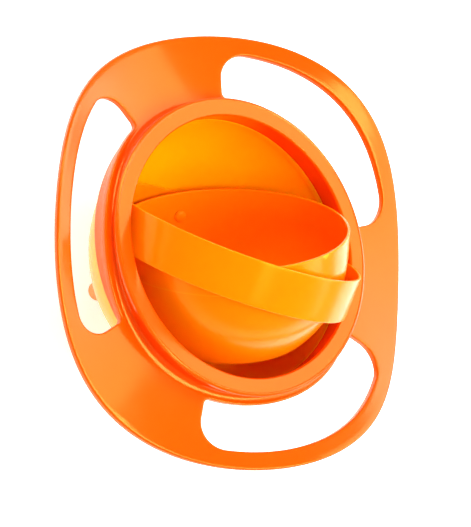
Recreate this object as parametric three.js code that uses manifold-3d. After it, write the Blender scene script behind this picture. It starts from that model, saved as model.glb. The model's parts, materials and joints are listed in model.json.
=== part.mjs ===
// Self-levelling baby bowl: a bowl hangs in a ring, and the ring hangs in a round shell with
// three handles, so the bowl can turn a full circle about two crossed axes.
// Millimetres. +Z is the shell's axis, towards its opening, and z = 0 is the table under its feet.
// +X runs along the ring's pivot line, through the middle of the first handle.
import * as THREE from 'three';
import { mergeVertices } from 'three/addons/utils/BufferGeometryUtils.js';
import Module from 'manifold-3d';

const wasm = await Module();
wasm.setup();

// ---- driving dimensions ----
const DEG = Math.PI / 180;
const GAP = 0.3;                 // running or fitting gap between neighbouring pieces
const BRIM_STEPS = 72;           // sides of the shell
const ROUND_STEPS = 60;          // sides of the dome, ring and bowl
const PIN_STEPS = 16;            // sides of pins, bosses and feet
const CUT_PAST = 1;              // how far a cutting shape runs past the face it cuts
const JOIN_OVERLAP = 0.3;        // how far joined shapes reach into each other

const RIM_Z = 82;                // outer edge of the shell's front rim
const RIM_RADIUS = 72.8;
const RIM_INNER_RADIUS = 64;
const RIM_CREST = 0.9;           // how far the rim's outer edge is crowned above RIM_Z
const RIM_INNER_HEIGHT = 0.4;    // and its inner edge
const RIM_INNER_ROUND = 0.7;
const RIM_LIP = 1.9;             // from RIM_Z down to where the lip leaves the neck
const RIM_LIP_SIDE = 0.8;        // from RIM_Z down to the end of the lip's upright side
const RIM_LIP_ROUND = 0.5;
const NECK_RADIUS = 71.2;
const WALL = 2.2;                // moulded wall of the shell

const GIMBAL_Z = RIM_Z - 12.4;   // height of both pivot lines
const SEAM_Z = GIMBAL_Z + 0.6;   // lower end of the shell's inner wall, where the dome meets it
const SEAM_RADIUS = 65.3;
const SKIRT_RADIUS = 74.1;
const SKIRT_Z = RIM_Z - 16.2;
const SHOULDER_Z = SEAM_Z + 0.5; // where the skirt meets the narrower neck

const BRIM_RADIUS = 107.5;
const BRIM_THICKNESS = 3.9;
const BRIM_EDGE_ROUND = 1.4;
const BRIM_ROOT_RADIUS = 75.8;   // just outside the neck; the wave is stated from here
const BRIM_ROOT_Z = RIM_Z - 7.2; // mean height of the brim's front there
const BRIM_SLOPE = 0.149;        // rise of the mean height per mm of radius
const WAVE_AT_ROOT = 3.9;        // half height of the three-lobed wave at the root
const WAVE_SLOPE = 0.244;        // growth of the wave per mm of radius
const HANDLES = 3;
const FILLET = 3.3;              // between brim and neck
const FILLET_STEPS = 3;

const OPENING_INNER = 76;        // handle openings
const OPENING_OUTER = 98.7;
const OPENING_HALF_ANGLE = 38.8 * DEG;
const OPENING_OUTER_CORNER = 12;
const OPENING_INNER_CORNER = 3;
const OPENING_ARC_STEPS = 6;

const DOME_RADIUS = 68.1;
const DOME_WALL = 2;
const DOME_ARC_STEPS = 8;
const DOME_FLANGE_RADIUS = 71.3;
const DOME_FLANGE_THICKNESS = 2.7;

const FOOT_RADIUS = 4.8;
const FOOT_CHAMFER = 0.8;
const FOOT_CIRCLE = 34.8;
const FOOT_TOP = 16;             // before the top is cut to the dome
const FEET = 3;
const FOOT_ANGLE = 21.5 * DEG;

const RING_RADIUS = 63.2;
const RING_WALL = 1.4;
const RING_HALF_HEIGHT = 10.6;
const RING_TURN = 58.15 * DEG;

const BOWL_RIM_RADIUS = 57.2;
const BOWL_RIM_HEIGHT = 12.2;    // above the pivots
const BOWL_RADIUS = 56.5;
const BOWL_DEPTH = 44.5;         // below the pivots
const BOWL_WALL = 1.4;
const BOWL_EDGE = 0.4;           // chamfer on the bowl's rim
const BOWL_BAND_HEIGHT = -1;     // lower end of the thicker band round the bowl
const BOWL_BAND_STEP = 0.3;      // how far the band stands out
const BOWL_FLOOR_ROUND = 8;
const BOWL_TURN = 22.7 * DEG;

const PIN_RADIUS = 1.9;
const PIN_HEAD_RADIUS = 3.1;
const PIN_HEAD = 1.3;
const PIN_HEAD_CHAMFER = 0.6;
const PIN_CHAMFER = 0.4;
const RING_PIN_END = 68.4;
const BOSS_RADIUS = 3.8;
const BOSS_LENGTH = 2.6;
const BOSS_WEB = 0.5;            // closed end of the boss's socket

// ---- materials ----
const plastic = (color) => new THREE.MeshStandardMaterial({ color, roughness: 0.3, metalness: 0 });
const orange = plastic(0xff7a1a);
const yellow = plastic(0xffa814);
const footYellow = new THREE.MeshStandardMaterial({ color: 0xf2b23a, roughness: 0.6, metalness: 0 });

// ---- shape helpers ----
function toSolid(geometry) {
  geometry.deleteAttribute('normal');
  geometry.deleteAttribute('uv');
  const merged = mergeVertices(geometry, 1e-4);
  return new wasm.Manifold(new wasm.Mesh({
    numProp: 3,
    vertProperties: new Float32Array(merged.attributes.position.array),
    triVerts: new Uint32Array(merged.index.array),
  }));
}

function toGeometry(solid) {
  const mesh = solid.getMesh();
  const geometry = new THREE.BufferGeometry();
  geometry.setAttribute('position', new THREE.BufferAttribute(mesh.vertProperties, 3));
  geometry.setIndex(new THREE.BufferAttribute(mesh.triVerts, 1));
  geometry.computeVertexNormals();
  return geometry;
}

// A profile of [radius, height] points, anticlockwise, turned about Z.
function turned(profile, steps = ROUND_STEPS) {
  const points = profile.map(([r, z]) => new THREE.Vector2(r, z));
  return new THREE.LatheGeometry(points, steps).rotateX(Math.PI / 2);
}

function turnedRing(profile, steps = ROUND_STEPS) {
  return turned([...profile, profile[0]], steps);
}

function arc(centreR, centreZ, radius, from, to, steps) {
  const points = [];
  for (let i = 0; i <= steps; i += 1) {
    const angle = from + ((to - from) * i) / steps;
    points.push([centreR + radius * Math.cos(angle), centreZ + radius * Math.sin(angle)]);
  }
  return points;
}

// A plain rod along X from one distance to another.
function rodAlongX(radius, from, to) {
  const rod = new THREE.CylinderGeometry(radius, radius, to - from, PIN_STEPS);
  return rod.rotateZ(Math.PI / 2).translate((from + to) / 2, 0, 0);
}

// ---- the wavy brim ----
const brimMean = (r) => BRIM_ROOT_Z + BRIM_SLOPE * (r - BRIM_ROOT_RADIUS);
const brimWave = (r) => WAVE_AT_ROOT + WAVE_SLOPE * (r - BRIM_ROOT_RADIUS);
const brimFront = (r, angle) => brimMean(r) + brimWave(r) * Math.cos(HANDLES * angle);

// A closed ring whose section is a list of { r, z(angle) } points, anticlockwise.
function wavyRing(section) {
  const positions = [];
  const index = [];
  const count = section.length;
  for (let step = 0; step < BRIM_STEPS; step += 1) {
    const angle = (2 * Math.PI * step) / BRIM_STEPS;
    for (const { r, z } of section) {
      positions.push(r * Math.cos(angle), r * Math.sin(angle), z(angle));
    }
  }
  for (let step = 0; step < BRIM_STEPS; step += 1) {
    const here = step * count;
    const next = ((step + 1) % BRIM_STEPS) * count;
    for (let i = 0; i < count; i += 1) {
      const j = (i + 1) % count;
      index.push(here + i, next + i, next + j);
      index.push(here + i, next + j, here + j);
    }
  }
  const geometry = new THREE.BufferGeometry();
  geometry.setAttribute('position', new THREE.Float32BufferAttribute(positions, 3));
  geometry.setIndex(index);
  return geometry;
}

function brimSection() {
  const inner = NECK_RADIUS - WALL / 2;
  const filletEnd = NECK_RADIUS + FILLET;
  const fillet = [];
  for (let step = 0; step <= FILLET_STEPS; step += 1) {
    const turn = (step * Math.PI) / (2 * FILLET_STEPS);
    const r = filletEnd - FILLET * Math.sin(turn);
    const rise = FILLET * (1 - Math.cos(turn));
    fillet.push({ r, z: (angle) => brimFront(r, angle) + rise });
  }
  const edge = (inset, drop) => ({
    r: BRIM_RADIUS - inset,
    z: (angle) => brimFront(BRIM_RADIUS - inset, angle) - drop,
  });
  const corner = BRIM_EDGE_ROUND * (1 - Math.SQRT1_2);
  return [
    { r: inner, z: (angle) => brimFront(inner, angle) - BRIM_THICKNESS },
    edge(BRIM_EDGE_ROUND, BRIM_THICKNESS),
    edge(corner, BRIM_THICKNESS - corner),
    edge(0, BRIM_THICKNESS - BRIM_EDGE_ROUND),
    edge(0, BRIM_EDGE_ROUND),
    edge(corner, corner),
    edge(BRIM_EDGE_ROUND, 0),
    ...fillet,
    { r: inner, z: (angle) => brimFront(inner, angle) },
  ];
}

// One handle opening, seen from the front: a curved slot with round corners.
function openingCutter(handle) {
  const middle = (handle * 2 * Math.PI) / HANDLES;
  const quarter = Math.PI / 2;
  const outline = new THREE.Shape();
  const cornerTurn = (round, centreR) => OPENING_HALF_ANGLE - round / centreR;
  const corner = (side, round, centreR, quarters) => {
    const turn = middle + side * cornerTurn(round, centreR);
    const start = turn + quarters * quarter;
    outline.absarc(centreR * Math.cos(turn), centreR * Math.sin(turn), round, start, start + quarter, false);
  };
  const innerR = OPENING_INNER + OPENING_INNER_CORNER;
  const outerR = OPENING_OUTER - OPENING_OUTER_CORNER;
  const innerTurn = cornerTurn(OPENING_INNER_CORNER, innerR);
  const outerTurn = cornerTurn(OPENING_OUTER_CORNER, outerR);
  outline.absarc(0, 0, OPENING_OUTER, middle - outerTurn, middle + outerTurn, false);
  corner(1, OPENING_OUTER_CORNER, outerR, 0);
  corner(1, OPENING_INNER_CORNER, innerR, 1);
  outline.absarc(0, 0, OPENING_INNER, middle + innerTurn, middle - innerTurn, true);
  corner(-1, OPENING_INNER_CORNER, innerR, 2);
  corner(-1, OPENING_OUTER_CORNER, outerR, 3);
  const height = RIM_Z;
  const settings = { depth: height, bevelEnabled: false, curveSegments: OPENING_ARC_STEPS };
  const cutter = new THREE.ExtrudeGeometry(outline, settings);
  return toSolid(cutter.translate(0, 0, height / 2));
}

function handleShell() {
  const front = RIM_Z - WALL;
  const innerWall = SEAM_RADIUS + WALL / 2;
  const neckInner = NECK_RADIUS - WALL;
  const skirtInner = DOME_FLANGE_RADIUS + GAP;
  const quarter = Math.PI / 2;
  const lipR = RIM_RADIUS - RIM_LIP_ROUND;
  const crestR = RIM_RADIUS - RIM_CREST;
  const innerEdgeR = RIM_INNER_RADIUS + RIM_INNER_ROUND;
  const innerEdgeZ = RIM_Z + RIM_INNER_HEIGHT - RIM_INNER_ROUND;
  const core = toSolid(turnedRing([
    [SEAM_RADIUS, SEAM_Z],
    [innerWall, SEAM_Z],
    [innerWall, front],
    [neckInner, front],
    [neckInner, SEAM_Z],
    [skirtInner, SEAM_Z],
    [skirtInner, SKIRT_Z],
    [SKIRT_RADIUS, SKIRT_Z],
    [SKIRT_RADIUS, SHOULDER_Z],
    [NECK_RADIUS, SHOULDER_Z],
    [NECK_RADIUS, RIM_Z - RIM_LIP],
    ...arc(lipR, RIM_Z - RIM_LIP_SIDE, RIM_LIP_ROUND, -quarter, 0, 1),
    ...arc(crestR, RIM_Z, RIM_CREST, 0, quarter, 2),
    ...arc(innerEdgeR, innerEdgeZ, RIM_INNER_ROUND, quarter, 2 * quarter, 2),
  ], BRIM_STEPS));
  const skirt = toSolid(wavyRing([
    { r: NECK_RADIUS - WALL / 2, z: () => SHOULDER_Z - JOIN_OVERLAP },
    { r: SKIRT_RADIUS, z: () => SHOULDER_Z - JOIN_OVERLAP },
    { r: SKIRT_RADIUS, z: (angle) => brimFront(SKIRT_RADIUS, angle) - BRIM_THICKNESS / 2 },
    { r: NECK_RADIUS - WALL / 2, z: (angle) => brimFront(NECK_RADIUS, angle) - BRIM_THICKNESS / 2 },
  ]));
  let brim = toSolid(wavyRing(brimSection()));
  for (let handle = 0; handle < HANDLES; handle += 1) {
    brim = brim.subtract(openingCutter(handle));
  }
  const seatDepth = SEAM_Z - SKIRT_Z + CUT_PAST;
  const seat = new THREE.CylinderGeometry(skirtInner, skirtInner, seatDepth, BRIM_STEPS)
    .rotateX(Math.PI / 2).translate(0, 0, SEAM_Z - seatDepth / 2);
  let shell = core.add(skirt).add(brim).subtract(toSolid(seat));
  for (const side of [-1, 1]) {
    shell = shell.subtract(pinBearing(side));
  }
  return toGeometry(shell);
}

// The round seat for a ring pin, which crosses the seam between the shell's inner wall and the dome.
function pinBearing(side) {
  const bearing = rodAlongX(PIN_RADIUS + GAP, RIM_INNER_RADIUS - CUT_PAST, RING_PIN_END + GAP);
  if (side < 0) {
    bearing.rotateZ(Math.PI);
  }
  return toSolid(bearing.translate(0, 0, GIMBAL_Z));
}

function backDome() {
  const top = SEAM_Z - GAP;
  const flangeBottom = top - DOME_FLANGE_THICKNESS;
  const inner = DOME_RADIUS - DOME_WALL;
  const outerStart = -Math.asin((GIMBAL_Z - flangeBottom) / DOME_RADIUS);
  const outer = arc(0, GIMBAL_Z, DOME_RADIUS, -Math.PI / 2, outerStart, DOME_ARC_STEPS);
  const inside = arc(0, GIMBAL_Z, inner, 0, -Math.PI / 2, DOME_ARC_STEPS);
  // both arcs end exactly on the axis
  outer[0][0] = 0;
  inside[inside.length - 1][0] = 0;
  const profile = [
    ...outer,
    [DOME_FLANGE_RADIUS, flangeBottom],
    [DOME_FLANGE_RADIUS, top],
    [inner, top],
    ...inside,
  ];
  let dome = toSolid(turned(profile));
  for (const side of [-1, 1]) {
    dome = dome.subtract(pinBearing(side));
  }
  return toGeometry(dome);
}

function foot(number) {
  const angle = FOOT_ANGLE + (number * 2 * Math.PI) / FEET;
  const post = toSolid(turned([
    [0, 0],
    [FOOT_RADIUS - FOOT_CHAMFER, 0],
    [FOOT_RADIUS, FOOT_CHAMFER],
    [FOOT_RADIUS, FOOT_TOP],
    [0, FOOT_TOP],
  ], PIN_STEPS).translate(FOOT_CIRCLE * Math.cos(angle), FOOT_CIRCLE * Math.sin(angle), 0));
  const dome = toSolid(new THREE.SphereGeometry(DOME_RADIUS + GAP, ROUND_STEPS, ROUND_STEPS / 2)
    .rotateX(Math.PI / 2).translate(0, 0, GIMBAL_Z));
  return toGeometry(post.subtract(dome));
}

// The ring in its own frame: Z is its axis, X its own pivot line, Y the bowl's pivot line.
function gimbalRing() {
  const inner = RING_RADIUS - RING_WALL;
  let ring = toSolid(turnedRing([
    [inner, -RING_HALF_HEIGHT],
    [RING_RADIUS, -RING_HALF_HEIGHT],
    [RING_RADIUS, RING_HALF_HEIGHT],
    [inner, RING_HALF_HEIGHT],
  ]));
  const hole = toSolid(rodAlongX(PIN_RADIUS + GAP, -RING_RADIUS - CUT_PAST, RING_RADIUS + CUT_PAST));
  ring = ring.subtract(hole);
  for (const side of [-1, 1]) {
    const turn = side * Math.PI / 2;
    const bossStart = inner - BOSS_LENGTH;
    const bossEnd = RING_RADIUS - BOSS_WEB;
    const boss = rodAlongX(BOSS_RADIUS, bossStart, bossEnd).rotateZ(turn);
    const socket = rodAlongX(PIN_RADIUS + GAP, bossStart - CUT_PAST, bossEnd).rotateZ(turn);
    ring = ring.add(toSolid(boss)).subtract(toSolid(socket));
  }
  return toGeometry(ring);
}

// A headed pin lying along X, with its head towards the middle.
function headedPin(headFrom, end) {
  const shoulder = headFrom + PIN_HEAD;
  const profile = [
    [0, headFrom],
    [PIN_HEAD_RADIUS - PIN_HEAD_CHAMFER, headFrom],
    [PIN_HEAD_RADIUS, headFrom + PIN_HEAD_CHAMFER],
    [PIN_HEAD_RADIUS, shoulder],
    [PIN_RADIUS, shoulder],
    [PIN_RADIUS, end - PIN_CHAMFER],
    [PIN_RADIUS - PIN_CHAMFER, end],
    [0, end],
  ];
  return turned(profile, PIN_STEPS).rotateY(Math.PI / 2);
}

function bowlShape() {
  const floor = -BOWL_DEPTH;
  const rimInner = BOWL_RIM_RADIUS - BOWL_WALL;
  const side = (radius, depth) => {
    // a sphere whose flat floor is joined to it by a round corner
    const round = BOWL_FLOOR_ROUND;
    const centreZ = -depth + round;
    const centreR = Math.sqrt((radius - round) ** 2 - centreZ ** 2);
    const meet = Math.atan2(centreZ, centreR);
    return [
      ...arc(centreR, centreZ, round, -Math.PI / 2, meet, 2),
      ...arc(0, 0, radius, meet, Math.asin(BOWL_BAND_HEIGHT / radius), 5).slice(1),
    ];
  };
  const outside = side(BOWL_RADIUS, BOWL_DEPTH);
  const inside = side(BOWL_RADIUS - BOWL_WALL, BOWL_DEPTH - BOWL_WALL).reverse();
  const profile = [
    [0, floor],
    ...outside,
    [BOWL_RADIUS + BOWL_BAND_STEP, BOWL_BAND_HEIGHT + BOWL_BAND_STEP],
    [BOWL_RIM_RADIUS, BOWL_RIM_HEIGHT - BOWL_EDGE],
    [BOWL_RIM_RADIUS - BOWL_EDGE, BOWL_RIM_HEIGHT],
    [rimInner + BOWL_EDGE, BOWL_RIM_HEIGHT],
    [rimInner, BOWL_RIM_HEIGHT - BOWL_EDGE],
    [BOWL_RADIUS - BOWL_WALL, 0],
    ...inside,
    [0, floor + BOWL_WALL],
  ];
  const bowl = toSolid(turned(profile));
  const hole = rodAlongX(PIN_RADIUS + GAP, -BOWL_RIM_RADIUS - CUT_PAST, BOWL_RIM_RADIUS + CUT_PAST);
  return toGeometry(bowl.subtract(toSolid(hole.rotateZ(Math.PI / 2))));
}

// ---- the assembly ----
function piece(name, geometry, material) {
  const mesh = new THREE.Mesh(geometry, material);
  mesh.name = name;
  return mesh;
}

const object = new THREE.Group();
object.add(piece('handle_shell', handleShell(), orange));
object.add(piece('back_dome', backDome(), yellow));
for (let number = 0; number < FEET; number += 1) {
  object.add(piece(`foot_${number + 1}`, foot(number), footYellow));
}

const ringGroup = new THREE.Group();
ringGroup.position.z = GIMBAL_Z;
ringGroup.rotation.x = RING_TURN;
ringGroup.add(piece('gimbal_ring', gimbalRing(), yellow));
const ringPinHead = RING_RADIUS - RING_WALL - GAP - PIN_HEAD;
const bowlPinHead = BOWL_RADIUS - BOWL_WALL - GAP - PIN_HEAD;
const bowlPinEnd = RING_RADIUS - BOSS_WEB - GAP;
for (const [number, turn] of [[1, 0], [2, Math.PI]]) {
  const ringPin = piece(`ring_pin_${number}`, headedPin(ringPinHead, RING_PIN_END), orange);
  ringPin.rotation.z = turn;
  const bowlPin = piece(`bowl_pin_${number}`, headedPin(bowlPinHead, bowlPinEnd), yellow);
  bowlPin.rotation.z = turn + Math.PI / 2;
  ringGroup.add(ringPin, bowlPin);
}

const bowlGroup = new THREE.Group();
bowlGroup.rotation.y = BOWL_TURN;
bowlGroup.add(piece('bowl', bowlShape(), yellow));
ringGroup.add(bowlGroup);
object.add(ringGroup);

export default object;
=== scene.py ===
"""The looks of a self-levelling baby bowl: glossy moulded orange and yellow plastic.

Lengths are millimetres until a mesh is written, when they become metres.
"""

import json
import math

import bmesh
import bpy
import numpy as np
from mathutils import Matrix, Vector
from mathutils.geometry import delaunay_2d_cdt


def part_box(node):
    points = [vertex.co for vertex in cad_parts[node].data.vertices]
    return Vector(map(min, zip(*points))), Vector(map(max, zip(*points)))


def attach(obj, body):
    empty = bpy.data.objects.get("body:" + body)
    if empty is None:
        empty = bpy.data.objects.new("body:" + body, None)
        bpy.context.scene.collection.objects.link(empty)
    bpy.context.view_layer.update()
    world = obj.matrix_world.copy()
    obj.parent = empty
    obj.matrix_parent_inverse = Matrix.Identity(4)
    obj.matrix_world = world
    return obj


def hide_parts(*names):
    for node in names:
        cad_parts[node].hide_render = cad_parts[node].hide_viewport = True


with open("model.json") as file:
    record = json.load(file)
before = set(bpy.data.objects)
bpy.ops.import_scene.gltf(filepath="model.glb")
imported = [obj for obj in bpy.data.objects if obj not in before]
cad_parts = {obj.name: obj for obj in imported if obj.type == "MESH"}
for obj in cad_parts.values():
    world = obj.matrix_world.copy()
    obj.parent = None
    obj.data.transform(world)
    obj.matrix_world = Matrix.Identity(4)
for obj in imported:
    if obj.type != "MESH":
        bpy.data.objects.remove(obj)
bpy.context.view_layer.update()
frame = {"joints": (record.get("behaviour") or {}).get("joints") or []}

# ---- sizes, from the frame where it gives them ----
MM = 0.001
joints = {joint["name"]: joint for joint in frame["joints"]}
PIVOT = Vector(joints["ring_turn"]["pos_m"]) / MM
RING_TURN = math.atan2(joints["bowl_turn"]["axis"][2], joints["bowl_turn"]["axis"][1])
BOWL_TURN = math.radians(22.7)

# shell: neck, skirt and rim, as radii from the middle and heights above the table
RIM_Z = PIVOT.z + 12.4
SEAM_Z = PIVOT.z + 0.6           # where the dome meets the shell
SKIRT_Z = RIM_Z - 16.2
SKIRT_STRAIGHT = 1.0             # height of the skirt's side below its fillet
NECK_RADIUS = 71.2
SKIRT_RADIUS = 74.1
SKIRT_INNER_RADIUS = 71.6
LIP_START = RIM_Z - 2.35         # where the rim's lip leaves the neck
LIP_ROOT_Z = RIM_Z - 1.9
LIP_UNDER_Z = RIM_Z - 1.45
LIP_TOP_Z = RIM_Z + 0.15
LIP_RADIUS = 72.8
CREST_RADIUS = 71.6
CREST_Z = RIM_Z + 0.9
FACE_OUTER_RADIUS = 71.0
FACE_OUTER_Z = RIM_Z + 0.62
FACE_INNER_RADIUS = 64.6
FACE_INNER_Z = RIM_Z + 0.35
MOUTH_RADIUS = 64.0
MOUTH_Z = RIM_Z - 0.6
MOUTH_LOW_RADIUS = 65.3
HOLLOW_INNER_RADIUS = 66.4       # the groove on the underside of the rim
HOLLOW_OUTER_RADIUS = 69.0
HOLLOW_TOP_Z = RIM_Z - 2.2

# shell: brim
BRIM_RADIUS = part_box("handle_shell")[1].x / MM
BRIM_THICKNESS = 3.9
BRIM_EDGE_ROUND = 1.4
BRIM_ROOT = 75.8                 # radius at which the wave's size is stated
BRIM_ROOT_Z = RIM_Z - 7.2
BRIM_SLOPE = 0.149
WAVE_AT_ROOT = 3.9
WAVE_SLOPE = 0.244
BRIM_START = 74.8                # where the flat of the brim begins, outside the fillet
FILLET = 3.3
HANDLES = 3

OPENING_INNER = 76.0
OPENING_OUTER = 98.7
OPENING_HALF_ANGLE = math.radians(38.8)
OPENING_INNER_CORNER = 3.0
OPENING_OUTER_CORNER = 12.0
OPENING_EDGE_ROUND = 0.9

# dome and feet
DOME_RADIUS = 68.1
DOME_WALL = 2.0
DOME_GAP = 0.3                   # between the dome's flange and the shell
FLANGE_RADIUS = 71.3
FLANGE_INNER_RADIUS = 65.4
FLANGE_THICKNESS = 2.7
FLANGE_INNER_DEPTH = 3.6
FLANGE_EDGE = 0.3
FLANGE_INNER_EDGE = 0.4
FOOT_RADIUS = 4.8
FOOT_CIRCLE = 34.8
FOOT_ANGLE = math.radians(21.5)
FOOT_EDGE_ROUND = 1.0
FOOT_SINK = 0.2                  # how far a foot's top goes into the dome's wall
FEET = 3

# ring, bowl and pins
RING_RADIUS = 63.2
RING_WALL = 1.4
RING_HALF_HEIGHT = 10.6
WALL_EDGE_ROUND = 0.45           # on the ring's edges and the bowl's rim
BOWL_RIM_RADIUS = 57.2
BOWL_RIM_HEIGHT = 12.2
BOWL_RADIUS = 56.5
BOWL_DEPTH = 44.5
BOWL_WALL = 1.4
BOWL_BAND_HEIGHT = -1.0
BOWL_BAND_STEP = 0.3
BOWL_BAND_EDGE = 0.4
BOWL_FLOOR_ROUND = 8.0
PIN_RADIUS = 1.9
PIN_CHAMFER = 0.4
PIN_HEAD_RADIUS = 3.1
PIN_HEAD = 1.3
PIN_GAP = 0.3
RING_PIN_END = 68.4
BOSS_RADIUS = 3.8
BOSS_LENGTH = 2.6
BOSS_EDGE_ROUND = 0.5
BOSS_SINK = 0.4                  # how far a boss goes into the ring's wall
BOSS_WEB = 0.5                   # ring wall left outside the end of a bowl pin

# ---- how finely the shapes are cut ----
AROUND = 480                     # columns round the shell and the ring
AROUND_BOWL = 320
AROUND_DOME = 256
AROUND_SMALL = 48                # feet, bosses and pins
CORNER_STEPS = 6
DOME_STEPS = 70
BOWL_SIDE_STEPS = 60
BOWL_FLOOR_STEPS = 14
PIN_HEAD_POINTS = 10
OPENING_SIDE_POINTS = 40
OPENING_OUTER_POINTS = 22
OPENING_INNER_POINTS = 14
FILLET_ROWS = 9
SKIRT_ROWS = 5
ROW_GAP = 0.05                   # least space kept between rows that could meet
LONGEST_SIDE = 1.2
FILL_STEP = 2.0                  # spacing of the points that fill the brim
FILL_MARGIN = FILL_STEP * 0.5
FILL_FIRST = FILL_STEP * 0.8
FILL_ROW = FILL_STEP * 0.87      # near the height of an equal-sided triangle
MERGE_DISTANCE = 2e-6            # metres
SLIVER_DISTANCE = 1e-7           # metres
SHARP_ANGLE = math.radians(35)


# ---- camera ----
CAMERA_AIM = Vector((-3.3, 5.7, PIVOT.z + 0.1))
CAMERA_AZIMUTH = math.radians(28.68)
CAMERA_ELEVATION = math.radians(51.96)
CAMERA_DISTANCE = 904.7
CAMERA_ROLL = math.radians(-69.77)
LENS = 143.8
SENSOR = 36.0
CLIP_END = 20                    # metres


def direction(azimuth, elevation):
    flat = math.cos(elevation)
    return Vector((flat * math.cos(azimuth), flat * math.sin(azimuth), math.sin(elevation)))


def make_camera():
    data = bpy.data.cameras.new("camera")
    data.sensor_fit = "HORIZONTAL"
    data.sensor_width = SENSOR
    data.lens = LENS
    data.clip_end = CLIP_END
    camera = bpy.data.objects.new("camera", data)
    bpy.context.scene.collection.objects.link(camera)
    back = direction(CAMERA_AZIMUTH, CAMERA_ELEVATION)
    level_right = Vector((0, 0, 1)).cross(back).normalized()
    level_up = back.cross(level_right)
    up = level_up * math.cos(CAMERA_ROLL) + level_right * math.sin(CAMERA_ROLL)
    right = up.cross(back)
    turn = Matrix((right, up, back)).transposed().to_4x4()
    camera.matrix_world = Matrix.Translation((CAMERA_AIM + back * CAMERA_DISTANCE) * MM) @ turn
    bpy.context.scene.camera = camera


# ---- shape helpers ----
def make_piece(name, points, faces, place=Matrix.Identity(4)):
    mesh = bpy.data.meshes.new(name)
    metres = np.asarray(points, float) * MM
    mesh.from_pydata(metres.tolist(), [], [list(map(int, face)) for face in faces])
    work = bmesh.new()
    work.from_mesh(mesh)
    bmesh.ops.remove_doubles(work, verts=work.verts, dist=MERGE_DISTANCE)
    bmesh.ops.dissolve_degenerate(work, edges=work.edges, dist=SLIVER_DISTANCE)
    bmesh.ops.recalc_face_normals(work, faces=work.faces)
    work.transform(place)
    work.to_mesh(mesh)
    work.free()
    mesh.shade_smooth()
    mesh.set_sharp_from_angle(angle=SHARP_ANGLE)
    piece = bpy.data.objects.new(name, mesh)
    bpy.context.scene.collection.objects.link(piece)
    return piece


def grid_faces(rows, columns, offset=0, close_rows=False, close_columns=True):
    faces = []
    for i in range(rows if close_rows else rows - 1):
        for j in range(columns if close_columns else columns - 1):
            a = i * columns + j
            b = i * columns + (j + 1) % columns
            c = ((i + 1) % rows) * columns + (j + 1) % columns
            d = ((i + 1) % rows) * columns + j
            faces.append((offset + a, offset + b, offset + c, offset + d))
    return faces


def arc(radius, start, end, steps, centre=(0.0, 0.0)):
    angles = np.linspace(start, end, steps + 1)
    return [(centre[0] + radius * math.cos(a), centre[1] + radius * math.sin(a)) for a in angles]


def rounded(corners, closed=True):
    """An outline whose (r, z, round) corners are arcs."""
    points = []
    count = len(corners)
    for i, (r, z, radius) in enumerate(corners):
        at = Vector((r, z))
        if radius == 0 or (not closed and i in (0, count - 1)):
            points.append((r, z))
            continue
        before = (Vector(corners[i - 1][:2]) - at).normalized()
        after = (Vector(corners[(i + 1) % count][:2]) - at).normalized()
        half = before.angle(after) / 2
        reach = radius / math.tan(half)
        centre = at + (before + after).normalized() * radius / math.sin(half)
        first = at + before * reach - centre
        last = at + after * reach - centre
        sweep = first.angle_signed(last)
        for k in range(CORNER_STEPS + 1):
            spoke = first.copy()
            spoke.rotate(Matrix.Rotation(-sweep * k / CORNER_STEPS, 2))
            points.append(tuple(centre + spoke))
    return points


def spaced(profile, closed=False):
    """The same outline with its long sides cut up, so that the painted edge highlight stays at the edges.
    """
    ends = profile[1:] + profile[:1] if closed else profile[1:]
    points = []
    for (r0, z0), (r1, z1) in zip(profile, ends):
        cuts = max(1, math.ceil(math.hypot(r1 - r0, z1 - z0) / LONGEST_SIDE))
        points += [(r0 + (r1 - r0) * i / cuts, z0 + (z1 - z0) * i / cuts) for i in range(cuts)]
    return points if closed else points + [profile[-1]]


def row_round(r, z, angles):
    """One row of points at radius r about Z; z is one height or a height for each point."""
    heights = np.broadcast_to(z, angles.shape)
    return np.column_stack((r * np.cos(angles), r * np.sin(angles), heights))


def turned_piece(name, profile, place=Matrix.Identity(4), steps=AROUND, closed=True):
    """A profile of (r, z) points turned about Z; closed joins its last point to its first."""
    profile = spaced(profile, closed=closed)
    angles = np.arange(steps) * 2 * math.pi / steps
    rows = [row_round(r, z, angles) for r, z in profile]
    faces = grid_faces(len(profile), steps, close_rows=closed)
    return make_piece(name, np.vstack(rows), faces, place)


# ---- the wavy brim ----
def brim_front(r, angle):
    mean = BRIM_ROOT_Z + BRIM_SLOPE * (r - BRIM_ROOT)
    wave = WAVE_AT_ROOT + WAVE_SLOPE * (r - BRIM_ROOT)
    return mean + wave * np.cos(HANDLES * angle)


def edge_steps(radius, steps=5):
    """(distance in from the edge, depth below the face) pairs round a moulded edge, front to back."""
    angles = np.linspace(0, math.pi / 2, steps + 1)
    front = [(radius * (1 - math.sin(a)), radius * (1 - math.cos(a))) for a in angles]
    back = [(inset, BRIM_THICKNESS - depth) for inset, depth in reversed(front)]
    return front + back


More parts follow.
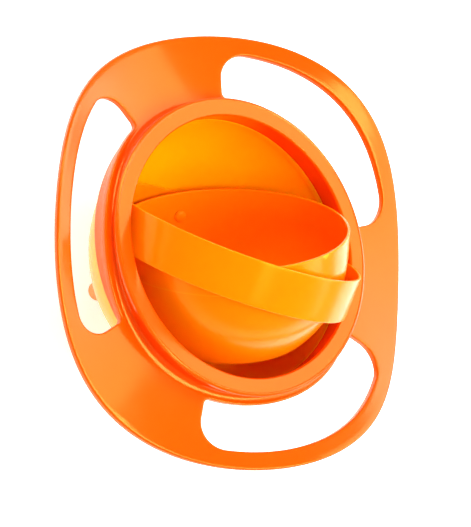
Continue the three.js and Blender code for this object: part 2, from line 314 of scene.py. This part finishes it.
def opening_loop(offset, handle):
    """The outline of a handle opening, moved outwards by offset, as x and y."""
    outer_centre = OPENING_OUTER - OPENING_OUTER_CORNER
    inner_centre = OPENING_INNER + OPENING_INNER_CORNER
    outer_turn = OPENING_HALF_ANGLE - OPENING_OUTER_CORNER / outer_centre
    inner_turn = OPENING_HALF_ANGLE - OPENING_INNER_CORNER / inner_centre
    outer = np.array((math.cos(outer_turn), math.sin(outer_turn))) * outer_centre
    inner = np.array((math.cos(inner_turn), math.sin(inner_turn))) * inner_centre
    between = outer - inner
    lean = math.acos((OPENING_INNER_CORNER - OPENING_OUTER_CORNER) / np.linalg.norm(between))
    side = math.atan2(between[1], between[0]) + lean

    def bend(centre, radius, start, end, count):
        angles = np.linspace(start, end, count)
        return [centre + radius * np.array((math.cos(a), math.sin(a))) for a in angles]

    origin = np.zeros(2)
    half = bend(origin, OPENING_OUTER + offset, 0, outer_turn, OPENING_SIDE_POINTS)
    half += bend(outer, OPENING_OUTER_CORNER + offset, outer_turn, side, OPENING_OUTER_POINTS)[1:]
    half += bend(inner, OPENING_INNER_CORNER + offset, side, inner_turn + math.pi,
                 OPENING_INNER_POINTS)
    half += bend(origin, OPENING_INNER - offset, inner_turn, 0, OPENING_SIDE_POINTS)[1:]
    half = np.array(half)
    mirrored = half[::-1][1:-1] * (1, -1)
    loop = np.vstack((half, mirrored))
    turn = handle * 2 * math.pi / HANDLES
    c, s = math.cos(turn), math.sin(turn)
    return loop @ np.array(((c, s), (-s, c)))


def inside_loop(loop, x, y):
    inside = np.zeros(len(x), bool)
    for (x0, y0), (x1, y1) in zip(loop, np.roll(loop, 1, axis=0)):
        if y0 == y1:
            continue
        crosses = ((y0 > y) != (y1 > y)) & (x < (x1 - x0) * (y - y0) / (y1 - y0) + x0)
        inside ^= crosses
    return inside


def circle(radius, steps=AROUND):
    angles = np.arange(steps) * 2 * math.pi / steps
    return np.column_stack((radius * np.cos(angles), radius * np.sin(angles)))


def brim_plan():
    """Points and triangles of the brim's flat, seen along Z, between its moulded edges."""
    loops = [circle(BRIM_START), circle(BRIM_RADIUS - BRIM_EDGE_ROUND)]
    holes = [opening_loop(OPENING_EDGE_ROUND, handle) for handle in range(HANDLES)]
    keep_out = [opening_loop(OPENING_EDGE_ROUND + FILL_MARGIN, handle) for handle in range(HANDLES)]
    fill = []
    radius = BRIM_START + FILL_FIRST
    while radius < BRIM_RADIUS - BRIM_EDGE_ROUND - FILL_MARGIN:
        fill.append(circle(radius, int(2 * math.pi * radius / FILL_STEP)))
        radius += FILL_ROW
    fill = np.vstack(fill)
    blocked = np.zeros(len(fill), bool)
    for loop in keep_out:
        blocked |= inside_loop(loop, fill[:, 0], fill[:, 1])
    points, edges = [], []
    for loop in loops + holes:
        start = len(points)
        points += loop.tolist()
        edges += [(start + i, start + (i + 1) % len(loop)) for i in range(len(loop))]
    points += fill[~blocked].tolist()
    verts, _, faces, *_ = delaunay_2d_cdt([Vector(p) for p in points], edges, [], 0, 1e-5)
    plan = np.array([tuple(v) for v in verts])
    faces = np.array(faces)
    middle = plan[faces].mean(axis=1)
    good = np.ones(len(faces), bool)
    for loop in [loops[0]] + holes:
        good &= ~inside_loop(loop, middle[:, 0], middle[:, 1])
    return plan, faces[good]


def on_brim(plan, depth):
    radius = np.hypot(plan[:, 0], plan[:, 1])
    angle = np.arctan2(plan[:, 1], plan[:, 0])
    return np.column_stack((plan, brim_front(radius, angle) - depth))


def neck_and_rim():
    """Rows of the shell's round middle, from the brim's front over the rim to the brim's back."""
    angles = np.arange(AROUND) * 2 * math.pi / AROUND
    rows = [on_brim(circle(BRIM_START), 0)]
    for turn in np.linspace(0, math.pi / 2, FILLET_ROWS):
        r = NECK_RADIUS + FILLET * (1 - math.sin(turn))
        z = np.minimum(brim_front(r, angles) + FILLET * (1 - math.cos(turn)), LIP_START - ROW_GAP)
        rows.append(row_round(r, z, angles))
    section = rounded([
        (NECK_RADIUS, LIP_START, 0),
        (NECK_RADIUS, LIP_ROOT_Z, 0.25),
        (LIP_RADIUS, LIP_UNDER_Z, 0.4),
        (LIP_RADIUS, LIP_TOP_Z, 0.6),
        (CREST_RADIUS, CREST_Z, 0.4),
        (FACE_OUTER_RADIUS, FACE_OUTER_Z, 0.6),
        (FACE_INNER_RADIUS, FACE_INNER_Z, 0.5),
        (MOUTH_RADIUS, MOUTH_Z, 0.5),
        (MOUTH_LOW_RADIUS, SEAM_Z, 0.25),
        (HOLLOW_INNER_RADIUS, SEAM_Z, 0.25),
        (HOLLOW_INNER_RADIUS, HOLLOW_TOP_Z, 0.5),
        (HOLLOW_OUTER_RADIUS, HOLLOW_TOP_Z, 0.5),
        (HOLLOW_OUTER_RADIUS, SEAM_Z, 0.3),
        (SKIRT_INNER_RADIUS, SEAM_Z, 0.2),
        (SKIRT_INNER_RADIUS, SKIRT_Z, 0.4),
        (SKIRT_RADIUS, SKIRT_Z, 0.5),
        (SKIRT_RADIUS, SKIRT_Z + SKIRT_STRAIGHT, 0),
    ], closed=False)
    for r, z in spaced(section):
        rows.append(row_round(r, z, angles))
    back_fillet = BRIM_START - SKIRT_RADIUS
    lowest = SKIRT_Z + SKIRT_STRAIGHT + ROW_GAP
    for turn in np.linspace(0, math.pi / 2, SKIRT_ROWS):
        r = SKIRT_RADIUS + back_fillet * (1 - math.cos(turn))
        z = brim_front(r, angles) - BRIM_THICKNESS - back_fillet * (1 - math.sin(turn))
        rows.append(row_round(r, np.maximum(z, lowest), angles))
    return rows


def shell():
    plan, triangles = brim_plan()
    points = [on_brim(plan, 0), on_brim(plan, BRIM_THICKNESS)]
    faces = [tuple(t) for t in triangles]
    faces += [tuple(t[::-1] + len(plan)) for t in triangles]
    count = 2 * len(plan)
    bands = [[on_brim(circle(BRIM_RADIUS - inset), depth) for inset, depth in edge_steps(BRIM_EDGE_ROUND)]]
    for handle in range(HANDLES):
        bands.append([on_brim(opening_loop(inset, handle), depth)
                      for inset, depth in edge_steps(OPENING_EDGE_ROUND)])
    bands.append(neck_and_rim())
    for band in bands:
        points += band
        faces += grid_faces(len(band), len(band[0]), count)
        count += sum(len(row) for row in band)
    return make_piece("shell_moulding", np.vstack(points), faces)


# ---- dome and feet ----
def dome():
    top = SEAM_Z - DOME_GAP - PIVOT.z
    under = top - FLANGE_THICKNESS
    inner = DOME_RADIUS - DOME_WALL
    inner_end = top - FLANGE_INNER_DEPTH
    outside = arc(DOME_RADIUS, -math.pi / 2, math.asin(under / DOME_RADIUS), DOME_STEPS)
    inside = arc(inner, math.asin(inner_end / inner), -math.pi / 2, DOME_STEPS)
    flange = [
        (FLANGE_RADIUS - FLANGE_EDGE, under),
        (FLANGE_RADIUS, under + FLANGE_EDGE),
        (FLANGE_RADIUS, top - FLANGE_EDGE),
        (FLANGE_RADIUS - FLANGE_EDGE, top),
        (FLANGE_INNER_RADIUS + FLANGE_EDGE, top),
        (FLANGE_INNER_RADIUS, top - FLANGE_EDGE),
        (FLANGE_INNER_RADIUS, inner_end + FLANGE_INNER_EDGE),
    ]
    place = Matrix.Translation(PIVOT * MM)
    return turned_piece("back_dome_moulding", outside + flange + inside, place, AROUND_DOME, closed=False)


def foot(number):
    angle = FOOT_ANGLE + number * 2 * math.pi / FEET
    centre = (FOOT_CIRCLE * math.cos(angle), FOOT_CIRCLE * math.sin(angle), 0)
    edge_centre = (FOOT_RADIUS - FOOT_EDGE_ROUND, FOOT_EDGE_ROUND)
    edge = arc(FOOT_EDGE_ROUND, -math.pi / 2, 0, CORNER_STEPS, edge_centre)
    around = np.arange(AROUND_SMALL) * 2 * math.pi / AROUND_SMALL
    loops = [row_round(r, z, around) + centre for r, z in [(0.0, 0.0)] + edge]
    reach = DOME_RADIUS - FOOT_SINK
    for r in (FOOT_RADIUS, FOOT_RADIUS * 0.5, 0.0):
        loop = row_round(r, 0, around) + centre
        loop[:, 2] = PIVOT.z - np.sqrt(reach ** 2 - loop[:, 0] ** 2 - loop[:, 1] ** 2)
        loops.append(loop)
    return make_piece(f"foot_moulding_{number + 1}", np.vstack(loops), grid_faces(len(loops), AROUND_SMALL))


# ---- ring, bowl and pins ----
ring_place = Matrix.Translation(PIVOT * MM) @ Matrix.Rotation(RING_TURN, 4, "X")
bowl_place = ring_place @ Matrix.Rotation(BOWL_TURN, 4, "Y")


def ring():
    inner = RING_RADIUS - RING_WALL
    edge = WALL_EDGE_ROUND
    profile = rounded([
        (inner, -RING_HALF_HEIGHT, edge),
        (RING_RADIUS, -RING_HALF_HEIGHT, edge),
        (RING_RADIUS, RING_HALF_HEIGHT, edge),
        (inner, RING_HALF_HEIGHT, edge),
    ])
    return turned_piece("ring_moulding", profile, ring_place)


def boss(number):
    inner = RING_RADIUS - RING_WALL
    profile = rounded([
        (PIN_RADIUS + PIN_GAP, inner - BOSS_LENGTH, 0),
        (BOSS_RADIUS, inner - BOSS_LENGTH, BOSS_EDGE_ROUND),
        (BOSS_RADIUS, inner + BOSS_SINK, 0),
        (PIN_RADIUS + PIN_GAP, inner + BOSS_SINK, 0),
    ])
    lie = Matrix.Rotation(-math.pi / 2 if number == 0 else math.pi / 2, 4, "X")
    return turned_piece(f"ring_boss_{number + 1}", profile, ring_place @ lie, AROUND_SMALL)


def bowl():
    def side(radius, depth):
        centre_z = -depth + BOWL_FLOOR_ROUND
        centre_r = math.sqrt((radius - BOWL_FLOOR_ROUND) ** 2 - centre_z ** 2)
        meet = math.atan2(centre_z, centre_r)
        low = arc(BOWL_FLOOR_ROUND, -math.pi / 2, meet, BOWL_FLOOR_STEPS, (centre_r, centre_z))
        return low + arc(radius, meet, math.asin(BOWL_BAND_HEIGHT / radius), BOWL_SIDE_STEPS)[1:]

    outside = side(BOWL_RADIUS, BOWL_DEPTH)
    inside = side(BOWL_RADIUS - BOWL_WALL, BOWL_DEPTH - BOWL_WALL)[::-1]
    rim = rounded([
        (BOWL_RADIUS + BOWL_BAND_STEP, BOWL_BAND_HEIGHT, 0),
        (BOWL_RADIUS + BOWL_BAND_STEP, BOWL_BAND_HEIGHT + BOWL_BAND_EDGE, 0),
        (BOWL_RIM_RADIUS, BOWL_RIM_HEIGHT, WALL_EDGE_ROUND),
        (BOWL_RIM_RADIUS - BOWL_WALL, BOWL_RIM_HEIGHT, WALL_EDGE_ROUND),
        (BOWL_RADIUS - BOWL_WALL, 0, 0),
    ], closed=False)
    profile = [(0.0, -BOWL_DEPTH)] + outside + rim + inside + [(0.0, -BOWL_DEPTH + BOWL_WALL)]
    return turned_piece("bowl_moulding", profile, bowl_place, AROUND_BOWL, closed=False)


def pin(name, head_from, end, turn):
    shoulder = head_from + PIN_HEAD
    head = [(PIN_HEAD_RADIUS * math.sin(a), shoulder - PIN_HEAD * math.cos(a))
            for a in np.linspace(0, math.pi / 2, PIN_HEAD_POINTS)]
    shank = [
        (PIN_RADIUS, shoulder),
        (PIN_RADIUS, end - PIN_CHAMFER),
        (PIN_RADIUS - PIN_CHAMFER, end),
        (0.0, end),
    ]
    lie = Matrix.Rotation(turn, 4, "Z") @ Matrix.Rotation(math.pi / 2, 4, "Y")
    return turned_piece(name, head + shank, ring_place @ lie, AROUND_SMALL, closed=False)


# ---- materials ----
IOR = 1.49
SPREAD_BY_COLOUR = (1.0, 0.35, 0.08)     # red light goes furthest through the wall
NOISE_RANGE = (0.3, 0.7)                 # the noise values that are stretched to the full change
POINTED_RANGE = (0.508, 0.60)            # from a flat surface to an edge with the full painted highlight
FLOW_NOISE = (14, 3)                     # noises are (scale, detail)
FLOW_DARKER = 0.90
GLOSS_NOISE = (70, 4)
GLOSS_CHANGE = (0.85, 1.25)
FINE_NOISE = (900, 2)
FINE_BUMP = (0.06, 0.0001)               # bumps are (strength, distance in metres)
BROAD_NOISE = (28, 1)
BROAD_BUMP = (0.08, 0.0004)
MIX_FIRST, MIX_SECOND, MIX_RESULT = 6, 7, 2      # the colour sockets of a mix node


def plastic(name, colour, edge_highlight_colour, gloss_tint, glow, gloss, roughness, edge_highlight_amount):
    """Glossy moulded plastic: faint flow marks in its colour, uneven gloss, edges lightened by a painted
    highlight.

    glow is (amount, reach in metres) of the light that passes through the thin wall.
    """
    material = bpy.data.materials.new(name)
    material.use_nodes = True
    nodes, links = material.node_tree.nodes, material.node_tree.links
    shader = nodes["Principled BSDF"]
    shader.inputs["IOR"].default_value = IOR
    shader.inputs["Specular IOR Level"].default_value = gloss
    shader.inputs["Specular Tint"].default_value = (*gloss_tint, 1)
    shader.inputs["Subsurface Weight"].default_value = glow[0]
    shader.inputs["Subsurface Radius"].default_value = SPREAD_BY_COLOUR
    shader.inputs["Subsurface Scale"].default_value = glow[1]
    place = nodes.new("ShaderNodeTexCoord")

    def noise(scale, detail):
        node = nodes.new("ShaderNodeTexNoise")
        node.inputs["Scale"].default_value = scale
        node.inputs["Detail"].default_value = detail
        links.new(place.outputs["Object"], node.inputs["Vector"])
        return node.outputs["Fac"]

    def between(value, low, high, source=NOISE_RANGE):
        node = nodes.new("ShaderNodeMapRange")
        node.inputs["From Min"].default_value = source[0]
        node.inputs["From Max"].default_value = source[1]
        node.inputs["To Min"].default_value = low
        node.inputs["To Max"].default_value = high
        links.new(value, node.inputs["Value"])
        return node.outputs["Result"]

    def mix(amount, first, second):
        node = nodes.new("ShaderNodeMix")
        node.data_type = "RGBA"
        links.new(amount, node.inputs["Factor"])
        for socket, value in ((node.inputs[MIX_FIRST], first), (node.inputs[MIX_SECOND], second)):
            if isinstance(value, bpy.types.NodeSocket):
                links.new(value, socket)
            else:
                socket.default_value = (*value, 1)
        return node.outputs[MIX_RESULT]

    def bump(size, height, under=None):
        node = nodes.new("ShaderNodeBump")
        node.inputs["Strength"].default_value = size[0]
        node.inputs["Distance"].default_value = size[1]
        links.new(height, node.inputs["Height"])
        if under:
            links.new(under, node.inputs["Normal"])
        return node.outputs["Normal"]

    darker = (colour[0], colour[1] * FLOW_DARKER, colour[2])
    flow = mix(between(noise(*FLOW_NOISE), 0, 1), darker, colour)
    geometry = nodes.new("ShaderNodeNewGeometry")
    # painted highlight: pointed edges are lightened towards the edge colour, in place of the reflections
    # along the edges
    painted_edge_highlight = between(geometry.outputs["Pointiness"], 0, edge_highlight_amount, POINTED_RANGE)
    links.new(mix(painted_edge_highlight, flow, edge_highlight_colour), shader.inputs["Base Color"])
    smooth, rough = (roughness * change for change in GLOSS_CHANGE)
    links.new(between(noise(*GLOSS_NOISE), smooth, rough), shader.inputs["Roughness"])
    fine = bump(FINE_BUMP, noise(*FINE_NOISE))
    links.new(bump(BROAD_BUMP, noise(*BROAD_NOISE), fine), shader.inputs["Normal"])
    return material


# each material's second colour and last amount give the painted highlight along its edges
ORANGE = plastic("orange_plastic", colour=(0.98, 0.088, 0.0003), edge_highlight_colour=(1.0, 0.15, 0.01),
                 gloss_tint=(1.0, 0.70, 0.13), glow=(0.20, 0.004), gloss=0.7, roughness=0.15, edge_highlight_amount=0.3)
YELLOW = plastic("yellow_plastic", colour=(1.0, 0.440, 0.0005), edge_highlight_colour=(1.0, 0.56, 0.02),
                 gloss_tint=(1.0, 0.80, 0.10), glow=(0.45, 0.007), gloss=0.5, roughness=0.17, edge_highlight_amount=0.4)
AMBER = plastic("amber_plastic", colour=(1.0, 0.235, 0.0005), edge_highlight_colour=(1.0, 0.50, 0.02),
                gloss_tint=(1.0, 0.80, 0.05), glow=(0.35, 0.006), gloss=0.4, roughness=0.17, edge_highlight_amount=0.6)
FOOT = plastic("foot_plastic", colour=(0.95, 0.48, 0.15), edge_highlight_colour=(1.0, 0.60, 0.20),
               gloss_tint=(1.0, 0.85, 0.40), glow=(0.15, 0.0025), gloss=0.4, roughness=0.40, edge_highlight_amount=0.5)


def place_piece(piece, body, node, material):
    piece.data.materials.append(material)
    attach(piece, body)
    if node:
        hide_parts(node)


# ---- stage ----
FLOOR_REACH = 6.0                # metres
FLOOR_COLOUR = (0.88, 0.88, 0.88, 1)
FLOOR_ROUGHNESS = 0.9
FLOOR_GLOSS = 0.1
FLOOR_GLOW = 0.65
WHITE = (1, 1, 1, 1)
SURROUND = 0.32
PANEL_DISTANCE = 1.6             # metres
# name, azimuth and elevation in degrees, width and height in metres, brightness
PANELS = (
    ("broad_panel", 190, 40, 2.1, 1.4, 3.5),
    ("high_panel", 118, 66, 1.1, 0.8, 9.5),
    ("bowl_panel", 300, 48, 0.9, 0.6, 8.0),
)


def make_stage():
    mesh = bpy.data.meshes.new("floor")
    reach = FLOOR_REACH
    corners = [(-reach, -reach, 0), (reach, -reach, 0), (reach, reach, 0), (-reach, reach, 0)]
    mesh.from_pydata(corners, [], [(0, 1, 2, 3)])
    floor = bpy.data.objects.new("floor", mesh)
    bpy.context.scene.collection.objects.link(floor)
    paper = bpy.data.materials.new("floor_paper")
    paper.use_nodes = True
    shader = paper.node_tree.nodes["Principled BSDF"]
    shader.inputs["Base Color"].default_value = FLOOR_COLOUR
    shader.inputs["Roughness"].default_value = FLOOR_ROUGHNESS
    shader.inputs["Specular IOR Level"].default_value = FLOOR_GLOSS
    shader.inputs["Emission Color"].default_value = WHITE
    shader.inputs["Emission Strength"].default_value = FLOOR_GLOW
    mesh.materials.append(paper)


def make_world():
    """Dim all round for the object, plain white behind it."""
    world = bpy.data.worlds.new("studio")
    bpy.context.scene.world = world
    world.use_nodes = True
    nodes, links = world.node_tree.nodes, world.node_tree.links
    surround = nodes["Background"]
    surround.inputs["Color"].default_value = WHITE
    surround.inputs["Strength"].default_value = SURROUND
    backdrop = nodes.new("ShaderNodeBackground")
    backdrop.inputs["Color"].default_value = WHITE
    path = nodes.new("ShaderNodeLightPath")
    choose = nodes.new("ShaderNodeMixShader")
    links.new(path.outputs["Is Camera Ray"], choose.inputs[0])
    links.new(surround.outputs[0], choose.inputs[1])
    links.new(backdrop.outputs[0], choose.inputs[2])
    links.new(choose.outputs[0], nodes["World Output"].inputs["Surface"])


def make_lights():
    for name, azimuth, elevation, width, height, brightness in PANELS:
        data = bpy.data.lights.new(name, "AREA")
        data.shape = "RECTANGLE"
        data.size = width
        data.size_y = height
        data.energy = brightness * math.pi * width * height
        light = bpy.data.objects.new(name, data)
        toward = direction(math.radians(azimuth), math.radians(elevation))
        light.location = PIVOT * MM + toward * PANEL_DISTANCE
        light.rotation_euler = toward.to_track_quat("Z", "Y").to_euler()
        bpy.context.scene.collection.objects.link(light)


# ---- put together ----
make_camera()
place_piece(shell(), "shell", "handle_shell", ORANGE)
place_piece(dome(), "shell", "back_dome", YELLOW)
for number in range(FEET):
    place_piece(foot(number), "shell", f"foot_{number + 1}", FOOT)
place_piece(ring(), "ring", "gimbal_ring", AMBER)
ring_pin_head = RING_RADIUS - RING_WALL - PIN_GAP - PIN_HEAD
bowl_pin_head = BOWL_RADIUS - BOWL_WALL - PIN_GAP - PIN_HEAD
for number in range(2):
    turn = number * math.pi
    ring_pin = pin(f"ring_pin_moulding_{number + 1}", ring_pin_head, RING_PIN_END, turn)
    place_piece(ring_pin, "ring", f"ring_pin_{number + 1}", ORANGE)
    bowl_pin = pin(f"bowl_pin_moulding_{number + 1}", bowl_pin_head, RING_RADIUS - BOSS_WEB - PIN_GAP,
                   turn + math.pi / 2)
    place_piece(bowl_pin, "ring", f"bowl_pin_{number + 1}", AMBER)
    place_piece(boss(number), "ring", None, AMBER)
place_piece(bowl(), "bowl", "bowl", AMBER)
make_stage()
make_world()
make_lights()
bpy.context.scene.view_settings.view_transform = "Standard"
